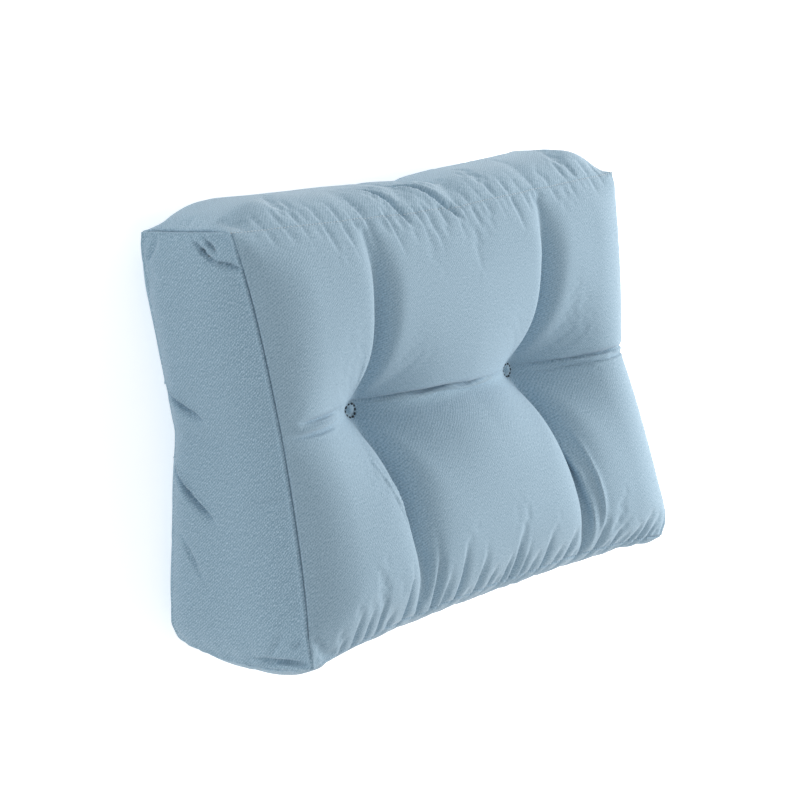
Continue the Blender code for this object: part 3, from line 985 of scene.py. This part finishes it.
class StitchSizes(bpy.types.PropertyGroup):
    """Sizes of the stitches along the seams and round the tufts."""

    seam_pitch: a_length("Seam stitch", "Distance from one seam stitch to the next", 0.0042)
    seam_length: a_length("Seam stitch length", "Length of a seam stitch", 0.0030)
    seam_thickness: a_length("Seam thread", "Thickness of the thread in the top seam", 0.0011)
    sunk_pitch: a_length("Sunk stitch", "Distance between stitches in a closed seam", 0.0030)
    sunk_length: a_length("Sunk stitch length", "Length of a stitch in a closed seam", 0.0030)
    sunk_thickness: a_length("Sunk thread", "Thickness of the thread in a closed seam", 0.0006)
    tuft_pitch: a_length("Tuft stitch", "Distance from one tuft stitch to the next", 0.0046)
    tuft_length: a_length("Tuft stitch length", "Length of a tuft stitch", 0.0034)
    tuft_thickness: a_length("Tuft thread", "Thickness of the tufts' thread", 0.0024)


class StageSizes(bpy.types.PropertyGroup):
    """The floor, the lights and the camera."""

    floor_size: a_length("Floor", "Width of the floor", 16.0)
    floor_glow: a_number("Floor glow", "Light that the white floor gives off from below", 0.50)
    key_power: a_number("Key light", "Power of the key light, in watts", 37.0)
    overhead: a_number("Overhead", "Strength of the surround overhead", 0.66)
    horizon: a_number("Horizon", "Strength of the surround at the floor", 0.66)
    lens: a_number("Lens", "Focal length in millimetres", 85.5)
    distance: a_length("Distance", "Distance of the camera from the cushion", 1.963)
    azimuth: a_number("Azimuth", "Turn of the camera to the side of the face, in degrees", -48.8)
    elevation: a_number("Elevation", "Height of the camera over the base, in degrees", 10.2)
    roll: a_number("Roll", "Roll of the camera, in degrees", -4.02)


class CUSHION_OT_cover(bpy.types.Operator):
    """Sew, gather and fill the cover, and finish its seams and tufts"""

    bl_idname = "cushion.cover"
    bl_label = "Sew and Fill the Cover"

    def execute(self, context):
        sizes = context.scene.cushion_cover
        block = Block(
            even_stations(LENGTH, sizes.cell),
            even_stations(HEIGHT, sizes.cell),
            even_stations(MEAN_THICKNESS, sizes.cell),
        )
        goal = form(*block.shares.T)
        troughs = sizes.crease_start * crease_depths(block, soft_trough)
        start = goal - point_normals(goal, block.all_quads) * troughs[:, None]
        points = start
        filled = sewn_and_filled(block, start, sizes)
        points = start + capped(filled - start, sizes.move_cap)
        points = points + softened(goal - points, block.all_quads, SOFT_ROUNDS)
        points = goal + (points - goal) * wrinkle_share(block)[:, None]
        fine = Block(
            crowded_stations(LENGTH, sizes.fine_cell),
            crowded_stations(HEIGHT, sizes.fine_cell, ROW_CROWD),
            crowded_stations(MEAN_THICKNESS, THROUGH_SHARE * sizes.fine_cell),
        )
        points = refined(block, points, fine)
        depth = crease_depths(fine, sharp_trough)
        depth = depth + sewn_lines(fine, sizes) + tuft_lines(fine, sizes)
        points = points - point_normals(points, fine.all_quads) * depth[:, None]
        points[:, 2] = settle(points[:, 2], 0.0, COVER_ROUNDING)
        points[:, 1] = settle(points[:, 1], BOX_LOW.y, COVER_ROUNDING)
        cover = new_object("cushion_cover", cover_mesh(fine, points))
        cover.data.materials.append(twill_material(context.scene.cushion_looks))
        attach(cover, "root")
        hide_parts("cushion")
        MADE["block"], MADE["points"] = fine, points
        return {"FINISHED"}


class CUSHION_OT_seam_stitches(bpy.types.Operator):
    """Lay the stitches along the twelve seams: flush on the face's top seam, sunk in the others"""

    bl_idname = "cushion.seam_stitches"
    bl_label = "Stitch the Seams"

    def execute(self, context):
        if "block" not in MADE:
            raise RuntimeError("the cover is made before its stitches")
        block, points = MADE["block"], MADE["points"]
        face, back, left, right = (block.panels[name] for name in ("face", "back", *END_PANELS))
        sunk = [face[:, 0], back[:, 0], back[:, -1]]
        sunk += [grid[end, :] for grid in (face, back, left, right) for end in (0, -1)]
        sizes, looks = context.scene.cushion_stitches, context.scene.cushion_looks
        tree = stitch_tree()
        # The near-black thread of the sunk seams paints the shade in their grooves; the stitches
        # themselves are real
        for name, kind, lines, colour in (
            ("top_seam", "seam", [face[:, -1]], looks.seam_thread),
            ("sunk_seam", "sunk", sunk, looks.groove_shade_thread),
        ):
            values = {
                "Pitch": getattr(sizes, f"{kind}_pitch"),
                "Length": getattr(sizes, f"{kind}_length"),
                "Thickness": getattr(sizes, f"{kind}_thickness"),
                "Thread": thread_material(name.replace("_", " ") + " thread", colour),
            }
            paths = [(points[line].tolist(), False) for line in lines]
            piece = stitched(f"{name}_stitches", paths, tree, values)
            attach(piece, "root")
        return {"FINISHED"}


class CUSHION_OT_tuft_stitches(bpy.types.Operator):
    """Lay the rings of stitches that hold the two tufts, on the face and the back"""

    bl_idname = "cushion.tuft_stitches"
    bl_label = "Stitch the Tufts"

    def execute(self, context):
        if "block" not in MADE:
            raise RuntimeError("the cover is made before its stitches")
        block, points = MADE["block"], MADE["points"]
        cover = bpy.data.objects["cushion_cover"]
        radius = context.scene.cushion_cover.tuft_ring
        paths = []
        for name, toward in (("face", -1.0), ("back", 1.0)):
            x, y = block.unfolded(name)
            for tuft_x in TUFTS_X:
                nearest = np.argmin(np.hypot(x - tuft_x, y - TUFT_Y))
                centre = points[block.panels[name].ravel()[nearest]]
                ring = []
                for turn in np.linspace(0.0, 2.0 * np.pi, RING_POINTS, endpoint=False):
                    above = Vector(centre) + Vector((np.cos(turn), np.sin(turn), 0.0)) * radius
                    above.z -= toward * RAY_HEIGHT
                    found, place, _, _ = cover.ray_cast(above, Vector((0.0, 0.0, toward)))
                    if not found:
                        raise RuntimeError("a tuft's ring lies off the cloth")
                    ring.append(tuple(place))
                paths.append((ring, True))
        sizes = context.scene.cushion_stitches
        values = {
            "Pitch": sizes.tuft_pitch,
            "Length": sizes.tuft_length,
            "Thickness": sizes.tuft_thickness,
            "Unevenness": 0.18,
            "Seed": 4,
            "Thread": thread_material("tuft thread", context.scene.cushion_looks.tuft_thread),
        }
        piece = stitched("tuft_stitches", paths, stitch_tree(), values)
        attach(piece, "root")
        return {"FINISHED"}


def camera_place(sizes):
    """Place and axes of the camera, at the photograph's angle to the face."""
    azimuth, elevation, roll = np.radians([sizes.azimuth, sizes.elevation, sizes.roll])
    level = np.cos(elevation)
    back = np.array([np.sin(azimuth) * level, np.sin(elevation), np.cos(azimuth) * level])
    right = np.cross(-back, [0.0, 1.0, 0.0])
    right /= np.linalg.norm(right)
    up = np.cross(right, -back)
    right, up = np.cos(roll) * right + np.sin(roll) * up, np.cos(roll) * up - np.sin(roll) * right
    place = np.array(CAMERA_TARGET) + back * sizes.distance
    rows = [(right[i], up[i], back[i], place[i]) for i in range(3)]
    return Matrix(rows + [(0.0, 0.0, 0.0, 1.0)])


def key_light(target, power):
    """Hang the key light, a square soft box that faces a target."""
    lamp = bpy.data.lights.new("key light", "AREA")
    lamp.size = KEY_SIZE
    lamp.energy = power
    lamp.color = KEY_TINT
    light = new_object("key light", lamp)
    light.location = KEY_PLACE
    light.rotation_mode = "QUATERNION"
    light.rotation_quaternion = (target - Vector(KEY_PLACE)).to_track_quat("-Z", "Y")


class CUSHION_OT_stage(bpy.types.Operator):
    """Set the pale floor, the soft lights and the camera"""

    bl_idname = "cushion.stage"
    bl_label = "Set the Stage"

    def execute(self, context):
        sizes = context.scene.cushion_stage
        half = sizes.floor_size / 2.0
        corners = [(-half, -half, 0.0), (half, -half, 0.0), (half, half, 0.0), (-half, half, 0.0)]
        mesh = bpy.data.meshes.new("floor")
        mesh.from_pydata(corners, [], [(0, 1, 2, 3)])
        floor = new_object("floor", mesh)
        # Cast and matt, and lit from below as a photographer's light table is: no edge or shine
        # shows on it, and it lights the cloth from underneath
        paint = bpy.data.materials.new("opal acrylic sheet")
        paint.use_nodes = True
        shader = paint.node_tree.nodes["Principled BSDF"]
        shader.inputs["Base Color"].default_value = linear("#FAFAFA")
        shader.inputs["Roughness"].default_value = 0.95
        shader.inputs["Specular IOR Level"].default_value = 0.1
        shader.inputs["Emission Color"].default_value = (1.0, 1.0, 1.0, 1.0)
        shader.inputs["Emission Strength"].default_value = sizes.floor_glow
        mesh.materials.append(paint)
        world = bpy.data.worlds.new("soft surround")
        world.use_nodes = True
        tree = world.node_tree
        direction = add_node(tree, "ShaderNodeTexCoord").outputs["Generated"]
        height = add_node(tree, "ShaderNodeSeparateXYZ", None, {"Vector": direction}).outputs["Z"]
        glows = {"To Min": sizes.horizon, "To Max": sizes.overhead}
        glow = add_node(tree, "ShaderNodeMapRange", glows, {"Value": height}).outputs["Result"]
        surround = tree.nodes["Background"].inputs
        surround["Color"].default_value = (1.0, 1.0, 1.0, 1.0)
        tree.links.new(glow, surround["Strength"])
        context.scene.world = world
        key_light((BOX_LOW + BOX_HIGH) / 2.0, sizes.key_power)
        context.scene.view_settings.view_transform = "Standard"
        data = bpy.data.cameras.new("camera")
        data.sensor_width = 36.0
        data.lens = sizes.lens
        data.clip_start, data.clip_end = 0.05, 100.0
        camera = new_object("camera", data)
        camera.matrix_world = camera_place(sizes)
        context.scene.camera = camera
        return {"FINISHED"}


OPERATORS = (CUSHION_OT_cover, CUSHION_OT_seam_stitches, CUSHION_OT_tuft_stitches, CUSHION_OT_stage)
GROUPS = {
    "cushion_cover": CoverSizes,
    "cushion_looks": ClothLooks,
    "cushion_stitches": StitchSizes,
    "cushion_stage": StageSizes,
}


class CUSHION_PT_panel(bpy.types.Panel):
    """The steps that make the cushion, and their sizes"""

    bl_idname = "CUSHION_PT_panel"
    bl_label = "Cushion"
    bl_space_type = "VIEW_3D"
    bl_region_type = "UI"
    bl_category = "Cushion"

    def draw(self, context):
        for operator in OPERATORS:
            self.layout.operator(operator.bl_idname)
        for name, group in GROUPS.items():
            box = self.layout.box()
            for key in group.__annotations__:
                box.prop(getattr(context.scene, name), key)


def register():
    for item in (*GROUPS.values(), *OPERATORS, CUSHION_PT_panel):
        bpy.utils.register_class(item)
    for name, group in GROUPS.items():
        setattr(bpy.types.Scene, name, bpy.props.PointerProperty(type=group))


def unregister():
    for name in GROUPS:
        delattr(bpy.types.Scene, name)
    for item in reversed((*GROUPS.values(), *OPERATORS, CUSHION_PT_panel)):
        bpy.utils.unregister_class(item)


def main():
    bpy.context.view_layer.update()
    register()
    bpy.ops.cushion.cover()
    bpy.ops.cushion.seam_stitches()
    bpy.ops.cushion.tuft_stitches()
    bpy.ops.cushion.stage()


if __name__ == "__main__":
    main()
